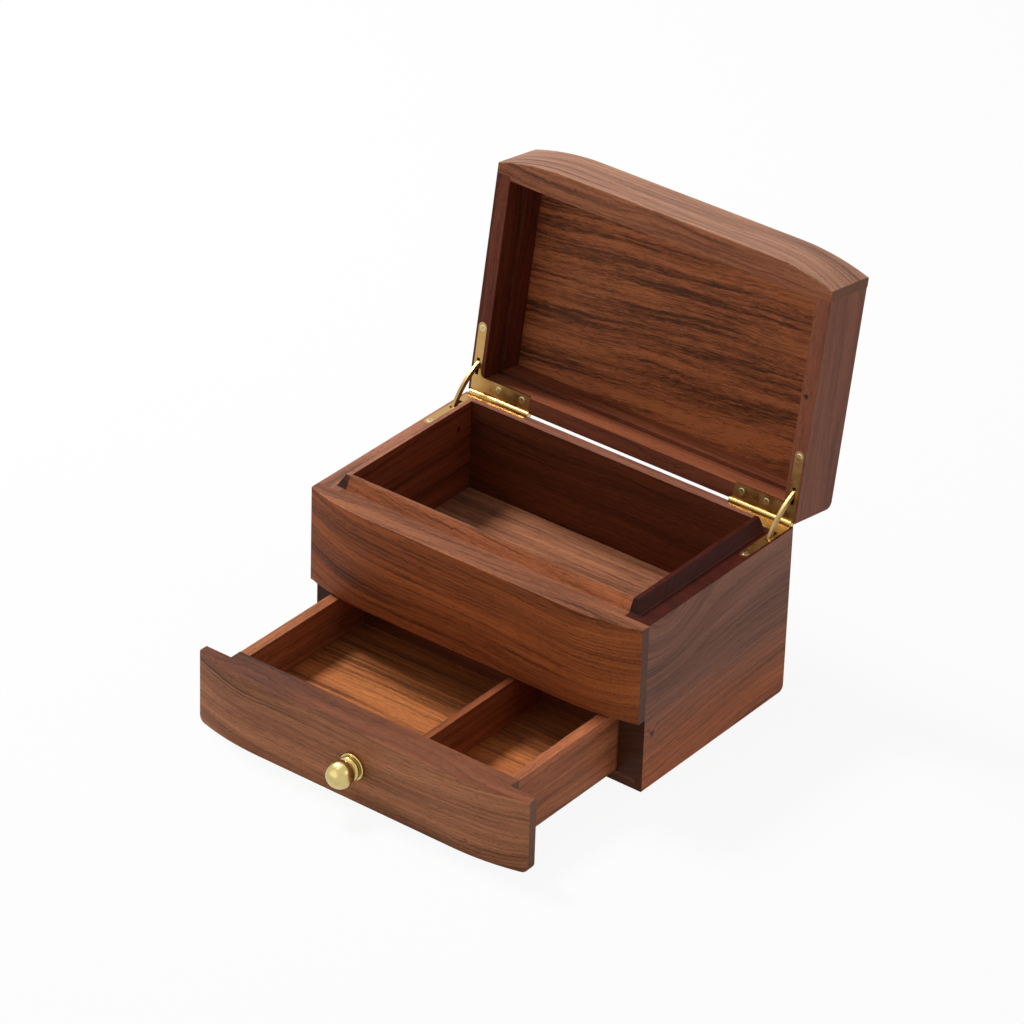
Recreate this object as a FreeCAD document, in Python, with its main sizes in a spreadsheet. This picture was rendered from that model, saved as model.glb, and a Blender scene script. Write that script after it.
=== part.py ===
import FreeCAD, Part
import math
import os
import Sketcher
from types import SimpleNamespace

# Ring box with a drawer.  Walnut boards, brass quadrant hinges, one brass knob.
# X runs to the right along the bowed front, Y runs to the back, Z is up.  The origin is the
# centre of the case's underside.  The lid stands open on its two stays and the drawer is
# drawn out, which is the pose at rest.  Lengths are millimetres, angles are degrees.
SIZES = {
    # case
    "box_width": 200.0,         # over both side boards
    "case_depth": 121.5,        # from the ends of the bow to the back face
    "case_height": 93.5,        # underside to the rim that the lid closes on
    "side_wall": 14.5,          # side boards
    "back_wall": 15.0,          # back board
    "bow_flat": 120.0,          # straight middle of the bowed front
    "bow_drop": 6.0,            # how far the middle stands in front of the ends
    "front_lap": 5.2,           # rail and lid front lap over the ends of the side boards
    "rail_reach": 13.4,         # ends of the bow to the inner face of the rail
    "drawer_height": 40.8,      # height of the drawer opening under the rail
    "lip_height": 6.5,          # upstand that the lid closes over
    "side_lip": 6.0,            # its thickness on the side boards, at the foot
    "side_lip_top": 2.4,        # the same at the top; the outer face slopes
    "rail_lip": 4.7,            # its thickness on the rail, at the foot
    "rail_lip_top": 1.7,        # the same at the top
    "back_lip": 3.0,            # its thickness on the back board, which is square
    "floor_thick": 5.0,         # tray floor
    "floor_rise": 9.5,          # foot of the rail to the top of the tray floor
    "floor_groove": 4.0,        # depth of the grooves that hold the tray floor
    "bottom_thick": 5.7,        # bottom panel
    "bottom_rebate": 10.3,      # how far the bottom panel reaches under the boards
    "edge_ease": 0.6,           # rounding of the long outer edges
    "foot_round": 3.5,          # rounding of the edge at the foot of the back
    # lid
    "lid_height": 31.0,
    "lid_gap": 0.2,             # between the two rims when the lid is shut
    "lid_open": 99.1,           # how far the lid opens
    "lid_rim": 8.2,             # thickness of the lid's boards at the rim
    "lid_front_reach": 7.3,     # ends of the bow to the inner face of the lid front
    "lid_step_depth": 13.0,     # rim to the ledge inside the lid
    "lid_ledge": 2.2,           # width of that ledge
    "lid_panel": 5.3,           # thickness of the top panel
    "panel_rebate": 3.4,        # how far the top panel reaches into the boards
    "lid_ease": 0.9,            # rounding of the lid's top edge, front and sides
    "lid_back_round": 3.8,      # the same along its back
    # drawer
    "drawer_open": 83.0,        # how far the drawer is drawn out
    "drawer_gap": 0.3,          # front to the case, and under the front
    "drawer_play": 0.9,         # beside the drawer in the case
    "drawer_top_gap": 0.6,      # drawer front to the rail, drawer sides to the bottom panel
    "drawer_front_thick": 11.5, # ends of the bow to the inner face of the drawer front
    "drawer_wall": 5.7,         # sides and back of the drawer
    "drawer_back_gap": 2.0,     # shut drawer to the back board
    "drawer_bottom": 4.0,       # bottom of the drawer
    "drawer_floor": 16.8,       # underside of the case to the drawer's floor
    "drawer_groove": 3.0,       # depth of the grooves that hold that bottom
    "divider_thick": 3.8,
    "divider_place": 29.0,      # middle of the divider, right of the middle of the box
    "divider_housing": 1.5,     # depth of the housings that hold the divider
    "front_corner": 3.3,        # rounding of the drawer front's lower corners
    # hinges
    "pin_offset": 0.9,          # hinge pin behind the back face
    "pin_radius": 0.8,
    "pin_play": 0.06,           # between pin and knuckle
    "knuckle_radius": 2.0,
    "knuckle_length": 7.3,      # each of the five knuckles
    "knuckle_play": 0.1,        # between neighbouring knuckles
    "knuckle_room": 0.3,        # round the knuckles, in the wood and in the other leaf
    "knuckle_inset": 1.8,       # outer face of the box to the outer end of the knuckles
    "leaf_thick": 1.5,
    "leaf_side": 5.0,           # width of the leg along the side
    "leaf_edge": 1.2,           # wood outside that leg
    "leaf_reach": 36.0,         # length of that leg
    "leaf_back": 7.4,           # width of the leg along the back, up to the knuckles
    "leaf_length": 36.2,        # length of that leg, from the outer edge of the leaf
    "leaf_web": 2.5,            # rounding in the angle of the two legs
    "leaf_corner": 1.5,         # rounding at the end of the leg along the back
    "stay_radius": 38.0,        # middle line of the curved stay
    "stay_middle": 11.9,        # pin to the middle of that line
    "stay_sweep": 24.0,         # degrees of it, from the middle to either head
    "stay_width": 2.8,
    "stay_thick": 1.4,
    "stay_play": 0.2,           # round the stay in the slots of the leaves
    "stay_head_radius": 1.7,
    "stay_head": 3.0,           # length of the heads at the ends of the stay, across it
    "stay_head_play": 0.4,      # round the heads in the wood
    # knob
    "knob_flange_radius": 6.7,
    "knob_flange_thick": 1.8,
    "knob_flange_edge": 0.6,    # bevel of the flange
    "knob_neck_radius": 3.6,
    "knob_neck_length": 2.2,
    "knob_head_radius": 6.9,
    "knob_band": 15.0,          # degrees of the round head in each of its turned bands
    "knob_stem_radius": 2.0,
    "knob_stem_length": 9.0,
    "knob_height": 20.2,        # underside of the case to the middle of the knob
}


class Size:
    """A length: its value now, and the expression that keeps following the sheet."""

    def __init__(self, value, text):
        self.value = value
        self.text = text

    def joined(self, other, sign, value):
        return Size(value, "(%s %s %s)" % (self.text, sign, other.text))

    def __add__(self, other):
        other = as_size(other)
        return self.joined(other, "+", self.value + other.value)

    def __sub__(self, other):
        other = as_size(other)
        return self.joined(other, "-", self.value - other.value)

    def __mul__(self, other):
        other = as_size(other)
        return self.joined(other, "*", self.value * other.value)

    def __truediv__(self, other):
        other = as_size(other)
        return self.joined(other, "/", self.value / other.value)

    def __neg__(self):
        return Size(-self.value, "(0 - %s)" % self.text)

    def __radd__(self, other):
        return as_size(other) + self

    def __rsub__(self, other):
        return as_size(other) - self

    def __rmul__(self, other):
        return as_size(other) * self


def as_size(value):
    return value if isinstance(value, Size) else Size(float(value), "%.6g" % value)


def cosine(angle):
    return Size(math.cos(math.radians(angle.value)), "cos(%s)" % angle.text)


def sine(angle):
    return Size(math.sin(math.radians(angle.value)), "sin(%s)" % angle.text)


def leg_of(longest, other):
    """The other short side of a right-angled triangle."""
    value = math.sqrt(longest.value ** 2 - other.value ** 2)
    return Size(value, "sqrt(%s ^ 2 - %s ^ 2)" % (longest.text, other.text))


def hypotenuse(one, other):
    value = math.hypot(one.value, other.value)
    return Size(value, "sqrt(%s ^ 2 + %s ^ 2)" % (one.text, other.text))


doc = FreeCAD.newDocument("ring_box")
sheet = doc.addObject("Spreadsheet::Sheet", "Sizes")
for row, (alias, number) in enumerate(SIZES.items(), 1):
    sheet.set("A%d" % row, alias)
    sheet.set("B%d" % row, str(number))
    sheet.setAlias("B%d" % row, alias)
doc.recompute()
d = SimpleNamespace(**{alias: Size(number, "Sizes." + alias) for alias, number in SIZES.items()})
ZERO = as_size(0)


# ---------------------------------------------------------------- helpers

def bind(thing, prop, length):
    thing.setExpression(prop, as_size(length).text)


def new_body(node):
    body = doc.addObject("PartDesign::Body", node)
    body.Label = node
    return body


def plane_of(body, role):
    return [item for item in body.Origin.OriginFeatures if item.Role == role][0]


def new_sketch(body, name, role, offset):
    """An empty sketch on one of the body's own planes, moved along its normal."""
    sketch = body.newObject("Sketcher::SketchObject", name)
    sketch.AttachmentSupport = [(plane_of(body, role), "")]
    sketch.MapMode = "FlatFace"
    bind(sketch, "AttachmentOffset.Base.z", offset)
    return sketch


def pin_point(sketch, geometry, corner, across, up):
    """Hold one point of the sketch at two lengths from the origin."""
    for kind, length in (("DistanceX", as_size(across)), ("DistanceY", as_size(up))):
        number = sketch.addConstraint(
            Sketcher.Constraint(kind, -1, 1, geometry, corner, length.value))
        sketch.setExpression("Constraints[%d]" % number, length.text)


def draw_outline(sketch, points, centres=None):
    """Close an outline through points; centres maps a side to the (across, up) of its arc."""
    centres = centres or {}
    flat = [(as_size(p[0]), as_size(p[1])) for p in points]
    for index, (across, up) in enumerate(flat):
        after = flat[(index + 1) % len(flat)]
        start = FreeCAD.Vector(across.value, up.value, 0)
        end = FreeCAD.Vector(after[0].value, after[1].value, 0)
        if index in centres:
            middle = arc_middle(start, end, centres[index])
            sketch.addGeometry(Part.Arc(start, middle, end), False)
        else:
            sketch.addGeometry(Part.LineSegment(start, end), False)
    ends = {}
    for index in range(len(flat)):
        backwards = index in centres and arc_runs_back(flat, index, centres[index])
        ends[index] = (2, 1) if backwards else (1, 2)
    for index in range(len(flat)):
        after = (index + 1) % len(flat)
        sketch.addConstraint(
            Sketcher.Constraint("Coincident", index, ends[index][1], after, ends[after][0]))
    for index, (across, up) in enumerate(flat):
        pin_point(sketch, index, ends[index][0], across, up)
    for index, centre in centres.items():
        number = sketch.addConstraint(
            Sketcher.Constraint("DistanceX", -1, 1, index, 3, centre[0].value))
        sketch.setExpression("Constraints[%d]" % number, centre[0].text)


def arc_middle(start, end, centre):
    """The point halfway along the short arc from start to end."""
    hub = FreeCAD.Vector(as_size(centre[0]).value, as_size(centre[1]).value, 0)
    radius = (start - hub).Length
    bisector = (start - hub) + (end - hub)
    return hub + bisector.normalize() * radius


def arc_runs_back(flat, index, centre):
    """Arcs are kept counter-clockwise, so a clockwise one starts at its far end."""
    start = flat[index]
    end = flat[(index + 1) % len(flat)]
    ax = start[0].value - centre[0].value
    ay = start[1].value - centre[1].value
    bx = end[0].value - centre[0].value
    by = end[1].value - centre[1].value
    return ax * by - ay * bx < 0


def extrude(body, kind, name, sketch, length, reverse=False):
    before = body.Shape.Volume if body.Tip else 0.0
    feature = body.newObject("PartDesign::" + kind, name)
    feature.Profile = sketch
    feature.Reversed = reverse
    bind(feature, "Length", length)
    doc.recompute()
    body.Tip = feature
    doc.recompute()
    change = body.Shape.Volume - before
    if (kind == "Pad") != (change > 0) or abs(change) < 1e-6:
        raise ValueError("%s of %s changes nothing" % (name, body.Label))
    return feature


def pad(body, name, points, bottom, height, centres=None):
    """Raise an outline drawn in plan from one level by a height."""
    sketch = new_sketch(body, name + "_outline", "XY_Plane", bottom)
    draw_outline(sketch, points, centres)
    return extrude(body, "Pad", name, sketch, height)


def pocket(body, name, points, bottom, height, centres=None):
    """Cut an outline drawn in plan, upwards from one level by a height."""
    sketch = new_sketch(body, name + "_outline", "XY_Plane", bottom)
    draw_outline(sketch, points, centres)
    return extrude(body, "Pocket", name, sketch, height, reverse=True)


def bar(body, name, plane, points, low, high, kind="Pad"):
    """A bar of one section between two places along X (YZ_Plane) or along Y (XZ_Plane)."""
    start = low if plane == "YZ_Plane" else -high
    sketch = new_sketch(body, name + "_section", plane, start)
    draw_outline(sketch, points)
    return extrude(body, kind, name, sketch, high - low, reverse=kind == "Pocket")


def rectangle(x0, x1, y0, y1):
    return [(x0, y0), (x1, y0), (x1, y1), (x0, y1)]


def round_edges(body, name, radius, wanted):
    """Round the edges of the body whose bounding box answers the question."""
    chosen = []
    for number, edge in enumerate(body.Shape.Edges, 1):
        box = edge.BoundBox
        if wanted(box):
            chosen.append("Edge%d" % number)
    if not chosen:
        raise ValueError("no edge for %s of %s" % (name, body.Label))
    base = body.Tip
    fillet = body.newObject("PartDesign::Fillet", name)
    fillet.Base = (base, chosen)
    bind(fillet, "Radius", radius)
    doc.recompute()
    body.Tip = fillet
    doc.recompute()


def near(one, other):
    return abs(one - as_size(other).value) < 0.01


def level(box, height):
    """True for an edge that lies wholly at one height."""
    return near(box.ZMin, height) and near(box.ZMax, height)


def bowed(left, right, ends, tongue, tongue_left, tongue_right, reach):
    """Plan of a board with a bowed face, square laps at its ends and a tongue between them."""
    flat = d.bow_flat / 2
    points = [
        (left, ends),
        (-flat, ends - d.bow_drop),
        (flat, ends - d.bow_drop),
        (right, ends),
        (right, tongue),
        (tongue_right, tongue),
        (tongue_right, reach),
        (tongue_left, reach),
        (tongue_left, tongue),
        (left, tongue),
    ]
    return points, {0: (-flat, bow_hub_y(ends)), 2: (flat, bow_hub_y(ends))}


def bow_hub_y(ends):
    """The end arcs of the bow run smoothly into its straight middle."""
    run = (d.box_width - d.bow_flat) / 2
    radius = (run * run / d.bow_drop + d.bow_drop) / 2
    return ends - d.bow_drop + radius


# ---------------------------------------------------------------- shared places

half = d.box_width / 2
front = -(d.case_depth / 2)
back = d.case_depth / 2
side_in = half - d.side_wall
back_in = back - d.back_wall
side_front = front + d.front_lap
rail_in = front + d.rail_reach
rail_lip_front = rail_in - d.rail_lip
rail_lip_upper = rail_in - d.rail_lip_top
lip_top = d.case_height + d.lip_height
floor_top = d.drawer_height + d.floor_rise
floor_under = floor_top - d.floor_thick
rail_height = d.case_height - d.drawer_height

# hinge pin, and the leaves about it: lengths along Y and Z are measured from the pin
pin_y = back + d.pin_offset
pin_z = d.case_height + d.lid_gap / 2
rim_gap = d.lid_gap / 2
leaf_out = half - d.leaf_edge
leaf_in = leaf_out - d.leaf_side
leaf_rear = -(d.knuckle_radius + d.knuckle_room)
leaf_front = leaf_rear - d.leaf_back
leaf_tip = leaf_rear - d.leaf_reach
stay_x = (leaf_out + leaf_in) / 2
stay_hub = d.stay_radius - d.stay_middle
stay_outer = d.stay_radius + d.stay_width / 2
stay_inner = d.stay_radius - d.stay_width / 2
stay_rise = sine(d.stay_sweep)
stay_run = cosine(d.stay_sweep)
head_y = stay_hub - d.stay_radius * stay_run
head_z = d.stay_radius * stay_rise
head_room = d.stay_head_radius + d.stay_head_play
slot_half = d.stay_thick / 2 + d.stay_play
slot_front = -(hypotenuse(stay_hub - stay_outer * stay_run, stay_outer * stay_rise) + d.stay_play)
slot_rear = d.stay_width / 2 + 2 * d.stay_play - d.stay_middle
mortise_half = d.stay_head / 2 + d.stay_head_play
mortise_front = -(hypotenuse(head_y, head_z) + head_room)
mortise_rear = head_y + head_room
mortise_depth = head_z + head_room
knuckle_out = half - d.knuckle_inset
knuckle_in = knuckle_out - 5 * d.knuckle_length
leaf_inner = leaf_out - d.leaf_length


# ---------------------------------------------------------------- hinge seats in the boards

def leaf_plan(side, shift):
    """The L of one leaf in plan: a round tip, a rounded inner angle and one round corner."""
    tip_hub = leaf_tip + d.leaf_side / 2 + shift
    web = d.leaf_web
    corner = d.leaf_corner
    points = [
        (side * leaf_in, tip_hub),
        (side * stay_x, leaf_tip + shift),
        (side * leaf_out, tip_hub),
        (side * leaf_out, leaf_rear + shift),
        (side * leaf_inner, leaf_rear + shift),
        (side * leaf_inner, leaf_front + corner + shift),
        (side * (leaf_inner + corner), leaf_front + shift),
        (side * (leaf_in - web), leaf_front + shift),
        (side * leaf_in, leaf_front - web + shift),
    ]
    centres = {
        0: (side * stay_x, tip_hub),
        1: (side * stay_x, tip_hub),
        5: (side * (leaf_inner + corner), leaf_front + corner + shift),
        7: (side * (leaf_in - web), leaf_front - web + shift),
    }
    return points, centres


def cut_hinge_seat(body, side, shift, rim, upward, with_mortise):
    """Let one leaf, its knuckles and the stay's mortise into the rim of a board."""
    tag = "right" if side > 0 else "left"

    def cut(name, points, depth, centres=None):
        bottom = rim if upward else rim - depth
        pocket(body, name + "_" + tag, points, bottom, depth, centres)

    points, centres = leaf_plan(side, shift)
    cut("leaf_seat", points, d.leaf_thick, centres)
    cut("knuckle_seat",
        rectangle(side * (knuckle_in - d.knuckle_room), side * (knuckle_out + d.knuckle_room),
                  leaf_rear + shift, shift),
        d.knuckle_radius + d.knuckle_room)
    if with_mortise:
        cut("stay_mortise",
            rectangle(side * (stay_x - mortise_half), side * (stay_x + mortise_half),
                      mortise_front + shift, mortise_rear + shift),
            mortise_depth)


# ---------------------------------------------------------------- case

def make_case_side(node, side):
    """Side board: a sloped lip on its inner edge, a groove, a rebate and the hinge's seat."""
    body = new_body(node)
    pad(body, "board", rectangle(side * side_in, side * half, side_front, back),
        ZERO, d.case_height)
    round_edges(body, "foot", d.foot_round,
                lambda box: level(box, 0) and near(box.YMin, back))
    round_edges(body, "back_corner", d.edge_ease,
                lambda box: near(box.YMin, back) and near(abs(box.XMin), half)
                and near(abs(box.XMax), half))
    lip = [
        (side * side_in, d.case_height),
        (side * (side_in + d.side_lip), d.case_height),
        (side * (side_in + d.side_lip_top), lip_top),
        (side * side_in, lip_top),
    ]
    bar(body, "lip", "XZ_Plane", lip, rail_lip_front, back_in + d.back_lip)
    sloped_end = [
        (rail_lip_front, d.case_height),
        (rail_lip_upper, lip_top),
        (rail_lip_front, lip_top),
    ]
    lip_foot = side * (side_in + d.side_lip / 2)
    bar(body, "lip_end", "YZ_Plane", sloped_end,
        lip_foot - d.side_lip / 2, lip_foot + d.side_lip / 2, "Pocket")
    pocket(body, "floor_groove",
           rectangle(side * side_in, side * (side_in + d.floor_groove),
                     rail_in - d.floor_groove, back_in + d.floor_groove),
           floor_under, d.floor_thick)
    pocket(body, "bottom_rebate",
           rectangle(side * side_in, side * (side_in + d.bottom_rebate),
                     side_front, back_in + d.bottom_rebate),
           ZERO, d.bottom_thick)
    cut_hinge_seat(body, side, pin_y, d.case_height, False, True)
    return body


def make_case_back():
    body = new_body("case_back")
    pad(body, "board", rectangle(-side_in, side_in, back_in, back), ZERO, d.case_height)
    round_edges(body, "foot", d.foot_round,
                lambda box: level(box, 0) and near(box.YMin, back))
    pad(body, "lip", rectangle(-side_in, side_in, back_in, back_in + d.back_lip),
        d.case_height, d.lip_height)
    pocket(body, "floor_groove",
           rectangle(-side_in, side_in, back_in, back_in + d.floor_groove),
           floor_under, d.floor_thick)
    pocket(body, "bottom_rebate",
           rectangle(-side_in, side_in, back_in, back_in + d.bottom_rebate),
           ZERO, d.bottom_thick)
    for side in (-1, 1):
        cut_hinge_seat(body, side, pin_y, d.case_height, False, False)
    return body


def make_front_rail():
    """Bowed rail over the drawer, lapped over the sides and tongued between them."""
    body = new_body("front_rail")
    points, centres = bowed(-half, half, front, side_front, -side_in, side_in, rail_in)
    pad(body, "board", points, d.drawer_height, rail_height, centres)
    round_edges(body, "front_edges", d.edge_ease,
                lambda box: box.YMax < front.value + 0.01
                and (level(box, d.case_height) or level(box, d.drawer_height)))
    lip = [
        (rail_lip_front, d.case_height),
        (rail_in, d.case_height),
        (rail_in, lip_top),
        (rail_lip_upper, lip_top),
    ]
    bar(body, "lip", "YZ_Plane", lip, -side_in, side_in)
    pocket(body, "floor_groove",
           rectangle(-side_in, side_in, rail_in - d.floor_groove, rail_in),
           floor_under, d.floor_thick)
    return body


def make_tray_floor():
    body = new_body("tray_floor")
    groove = d.floor_groove
    pad(body, "board",
        rectangle(-(side_in + groove), side_in + groove, rail_in - groove, back_in + groove),
        floor_under, d.floor_thick)
    return body


def make_bottom_panel():
    body = new_body("bottom_panel")
    reach = side_in + d.bottom_rebate
    pad(body, "board", rectangle(-reach, reach, side_front, back_in + d.bottom_rebate),
        ZERO, d.bottom_thick)
    return body


# ---------------------------------------------------------------- lid
# The lid is drawn shut, measured from the hinge pin, and turned open as a whole.

lid_top = rim_gap + d.lid_height
ledge = rim_gap + d.lid_step_depth
upper = d.lid_height - d.lid_step_depth
panel_under = lid_top - d.lid_panel
lid_front_y = front - pin_y
lid_back_y = back - pin_y
rim_in = half - d.lid_rim
ledge_in = rim_in - d.lid_ledge
front_rim_in = lid_front_y + d.lid_front_reach
back_rim_in = lid_back_y - d.lid_rim
front_ledge_in = front_rim_in + d.lid_ledge
back_ledge_in = back_rim_in - d.lid_ledge
panel_front = front_ledge_in - d.panel_rebate
panel_back = back_ledge_in + d.panel_rebate
panel_side = ledge_in + d.panel_rebate
lid_side_front = lid_front_y + d.front_lap


def open_with_lid(body, share=1.0):
    """Turn a body about the hinge pin by the lid's opening, or by a share of it."""
    turn = FreeCAD.Rotation(FreeCAD.Vector(-1, 0, 0), SIZES["lid_open"] * share)
    place = FreeCAD.Vector(0, pin_y.value, pin_z.value)
    body.Placement = FreeCAD.Placement(place, turn)
    bind(body, "Placement.Base.y", pin_y)
    bind(body, "Placement.Base.z", pin_z)
    bind(body, "Placement.Rotation.Angle", d.lid_open * share)


def rebate_for_panel(body):
    pocket(body, "panel_rebate",
           rectangle(-panel_side, panel_side, panel_front, panel_back),
           panel_under, d.lid_panel)


def make_lid_side(node, side):
    body = new_body(node)
    pad(body, "rim_board",
        rectangle(side * rim_in, side * half, lid_side_front, lid_back_y),
        rim_gap, d.lid_step_depth)
    pad(body, "upper_board",
        rectangle(side * ledge_in, side * half, lid_side_front, lid_back_y),
        ledge, upper)
    round_edges(body, "back_top", d.lid_back_round,
                lambda box: level(box, lid_top) and near(box.YMin, lid_back_y))
    round_edges(body, "outer_edges", d.edge_ease,
                lambda box: near(box.YMin, lid_back_y) and near(abs(box.XMin), half)
                and near(abs(box.XMax), half))
    rebate_for_panel(body)
    cut_hinge_seat(body, side, ZERO, rim_gap, True, True)
    open_with_lid(body)
    return body


def make_lid_back():
    body = new_body("lid_back")
    pad(body, "rim_board", rectangle(-rim_in, rim_in, back_rim_in, lid_back_y),
        rim_gap, d.lid_step_depth)
    pad(body, "upper_board", rectangle(-ledge_in, ledge_in, back_ledge_in, lid_back_y),
        ledge, upper)
    round_edges(body, "back_top", d.lid_back_round,
                lambda box: level(box, lid_top) and near(box.YMin, lid_back_y))
    rebate_for_panel(body)
    for side in (-1, 1):
        cut_hinge_seat(body, side, ZERO, rim_gap, True, False)
    open_with_lid(body)
    return body


def make_lid_front():
    body = new_body("lid_front")
    points, centres = bowed(-half, half, lid_front_y, lid_side_front,
                            -rim_in, rim_in, front_rim_in)
    pad(body, "rim_board", points, rim_gap, d.lid_step_depth, centres)
    points, centres = bowed(-half, half, lid_front_y, lid_side_front,
                            -ledge_in, ledge_in, front_ledge_in)
    pad(body, "upper_board", points, ledge, upper, centres)
    round_edges(body, "front_edges", d.edge_ease,
                lambda box: box.YMax < lid_front_y.value + 0.01 and level(box, rim_gap))
    round_edges(body, "top_edges", d.lid_ease,
                lambda box: box.YMax < lid_front_y.value + 0.01 and level(box, lid_top))
    rebate_for_panel(body)
    open_with_lid(body)
    return body


def make_lid_panel():
    body = new_body("lid_top_panel")
    pad(body, "board", rectangle(-panel_side, panel_side, panel_front, panel_back),
        panel_under, d.lid_panel)
    open_with_lid(body)
    return body


# ---------------------------------------------------------------- hinges

def knuckle_span(side, index):
    """Low and high X of one knuckle; number 0 is the outermost."""
    outer = knuckle_out - index * d.knuckle_length - d.knuckle_play / 2
    inner = knuckle_out - (index + 1) * d.knuckle_length + d.knuckle_play / 2
    if side > 0:
        return inner, outer
    return -outer, -inner


def draw_circle(sketch, across, up, radius):
    across = as_size(across)
    up = as_size(up)
    centre = FreeCAD.Vector(across.value, up.value, 0)
    number = sketch.addGeometry(Part.Circle(centre, FreeCAD.Vector(0, 0, 1), radius.value), False)
    pin_point(sketch, number, 3, across, up)
    held = sketch.addConstraint(Sketcher.Constraint("Radius", number, radius.value))
    sketch.setExpression("Constraints[%d]" % held, radius.text)


def rod(body, name, low, high, radius, across=0, up=0, kind="Pad"):
    """A round bar along X, added or taken away; across is Y and up is Z."""
    sketch = new_sketch(body, name + "_circle", "YZ_Plane", low)
    draw_circle(sketch, across, up, radius)
    return extrude(body, kind, name, sketch, high - low, reverse=kind == "Pocket")


def make_leaf(node, side, of_lid):
    """Leaf with its share of the knuckles; the case has numbers 1 and 3, the lid the rest."""
    body = new_body(node)
    bottom = rim_gap if of_lid else -(rim_gap + d.leaf_thick)
    points, centres = leaf_plan(side, ZERO)
    pad(body, "plate", points, bottom, d.leaf_thick, centres)
    pocket(body, "stay_slot",
           rectangle(side * (stay_x - slot_half), side * (stay_x + slot_half),
                     slot_front, slot_rear),
           bottom, d.leaf_thick)
    for index in ((0, 2, 4) if of_lid else (1, 3)):
        low, high = knuckle_span(side, index)
        pad(body, "tab_%d" % index, rectangle(low, high, leaf_rear, ZERO),
            bottom, d.leaf_thick)
        rod(body, "knuckle_%d" % index, low, high, d.knuckle_radius)
    low, high = knuckle_ends(side)
    rod(body, "bore", low, high, d.pin_radius + d.pin_play, kind="Pocket")
    if of_lid:
        open_with_lid(body)
    else:
        bind(body, "Placement.Base.y", pin_y)
        bind(body, "Placement.Base.z", pin_z)
    return body


def knuckle_ends(side):
    if side > 0:
        return knuckle_in, knuckle_out
    return -knuckle_out, -knuckle_in


def make_pin(node, side):
    body = new_body(node)
    low, high = knuckle_ends(side)
    rod(body, "pin", low, high, d.pin_radius)
    bind(body, "Placement.Base.y", pin_y)
    bind(body, "Placement.Base.z", pin_z)
    return body


def make_stay(node, side):
    """Flat curved stay through both leaves, with a head at each end that can't pass the slots."""
    body = new_body(node)
    sketch = new_sketch(body, "stay_outline", "YZ_Plane", side * stay_x - d.stay_thick / 2)
    outer_end = stay_hub - stay_outer * stay_run
    inner_end = stay_hub - stay_inner * stay_run
    points = [
        (outer_end, -(stay_outer * stay_rise)),
        (outer_end, stay_outer * stay_rise),
        (inner_end, stay_inner * stay_rise),
        (inner_end, -(stay_inner * stay_rise)),
    ]
    draw_outline(sketch, points, {0: (stay_hub, ZERO), 2: (stay_hub, ZERO)})
    extrude(body, "Pad", "curve", sketch, d.stay_thick)
    low = side * stay_x - d.stay_head / 2
    high = side * stay_x + d.stay_head / 2
    rod(body, "lower_head", low, high, d.stay_head_radius, across=head_y, up=-head_z)
    rod(body, "upper_head", low, high, d.stay_head_radius, across=head_y, up=head_z)
    open_with_lid(body, 0.5)
    return body


# ---------------------------------------------------------------- drawer
# The drawer is drawn shut and moved out as a whole.

drawer_side_out = side_in - d.drawer_play
drawer_side_in = drawer_side_out - d.drawer_wall
drawer_low = d.bottom_thick + d.drawer_top_gap
drawer_high = d.drawer_height - d.drawer_top_gap
drawer_side_high = drawer_high - d.drawer_gap
drawer_lap = side_front - d.drawer_gap
front_inner = front + d.drawer_front_thick
drawer_end = back_in - d.drawer_back_gap
drawer_back_in = drawer_end - d.drawer_wall
bottom_under = d.drawer_floor - d.drawer_bottom
divider_left = d.divider_place - d.divider_thick / 2
divider_right = d.divider_place + d.divider_thick / 2


def draw_out(body):
    bind(body, "Placement.Base.y", -d.drawer_open)


def make_drawer_front():
    body = new_body("drawer_front")
    points, centres = bowed(-half, half, front, drawer_lap,
                            -drawer_side_out, drawer_side_out, front_inner)
    pad(body, "board", points, d.drawer_gap, drawer_high - d.drawer_gap, centres)
    pocket(body, "over_bottom",
           rectangle(-drawer_side_out, drawer_side_out, drawer_lap, front_inner),
           d.drawer_gap, drawer_low - d.drawer_gap)
    round_edges(body, "lower_corners", d.front_corner,
                lambda box: near(abs(box.XMin), half) and near(abs(box.XMax), half)
                and level(box, d.drawer_gap))
    round_edges(body, "top_edges", d.edge_ease,
                lambda box: box.YMax < front.value + 0.01 and level(box, drawer_high))
    pocket(body, "bottom_groove",
           rectangle(-(drawer_side_in + d.drawer_groove), drawer_side_in + d.drawer_groove,
                     front_inner - d.drawer_groove, front_inner),
           bottom_under, d.drawer_bottom)
    pocket(body, "divider_housing",
           rectangle(divider_left, divider_right,
                     front_inner - d.divider_housing, front_inner),
           d.drawer_floor, drawer_side_high - d.drawer_floor)
    hole = new_sketch(body, "stem_circle", "XZ_Plane", -front_inner)
    draw_circle(hole, 0, d.knob_height, d.knob_stem_radius)
    extrude(body, "Pocket", "stem_hole", hole, d.drawer_front_thick + d.bow_drop, reverse=True)
    draw_out(body)
    return body


def make_drawer_side(node, side):
    body = new_body(node)
    pad(body, "board",
        rectangle(side * drawer_side_in, side * drawer_side_out, front_inner, drawer_end),
        drawer_low, drawer_side_high - drawer_low)
    pocket(body, "bottom_groove",
           rectangle(side * drawer_side_in, side * (drawer_side_in + d.drawer_groove),
                     front_inner, drawer_back_in + d.drawer_groove),
           bottom_under, d.drawer_bottom)
    draw_out(body)
    return body


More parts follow.
